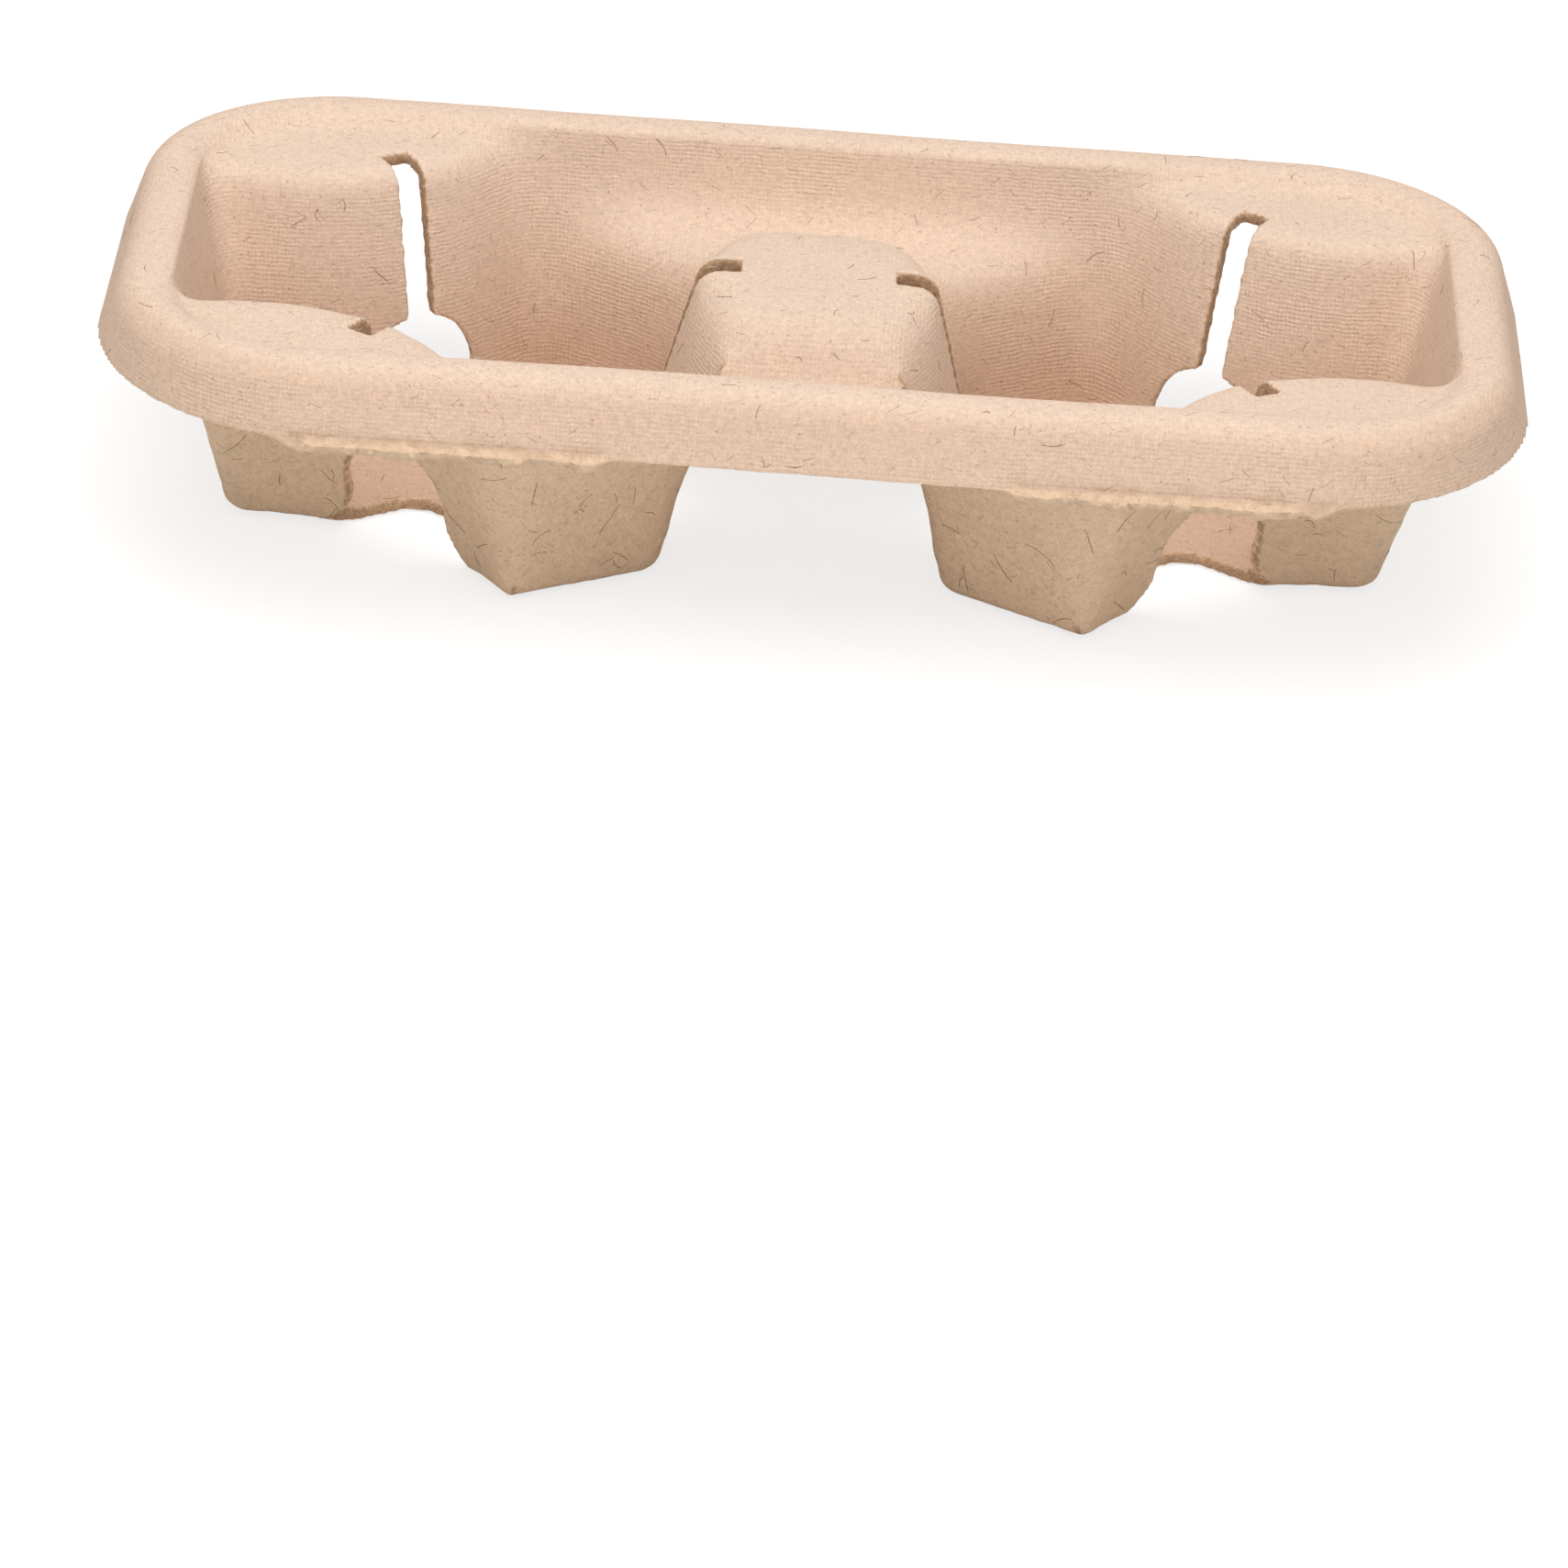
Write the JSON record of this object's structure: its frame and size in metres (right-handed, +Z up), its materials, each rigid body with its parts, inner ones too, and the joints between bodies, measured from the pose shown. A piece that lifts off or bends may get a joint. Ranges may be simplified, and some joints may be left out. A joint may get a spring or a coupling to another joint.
{
  "type": "cup carrier",
  "caption": "Moulded pulp drink tray with a pair of tapered cup wells joined by a bridge, slit grips, arched feet and a flared rim skirt.",
  "frame": {"origin": "middle of the footprint at the level the feet stand on", "axes": "+X along the row of wells, +Y across the tray, +Z up, out of the wells"},
  "size_m": [0.216, 0.108, 0.044],
  "materials": {
    "pulp": "matte, fibrous, screen-marked on the upper side"
  },
  "bodies": {
    "root": {"cup_carrier": "pulp"}
  },
  "joints": []
}
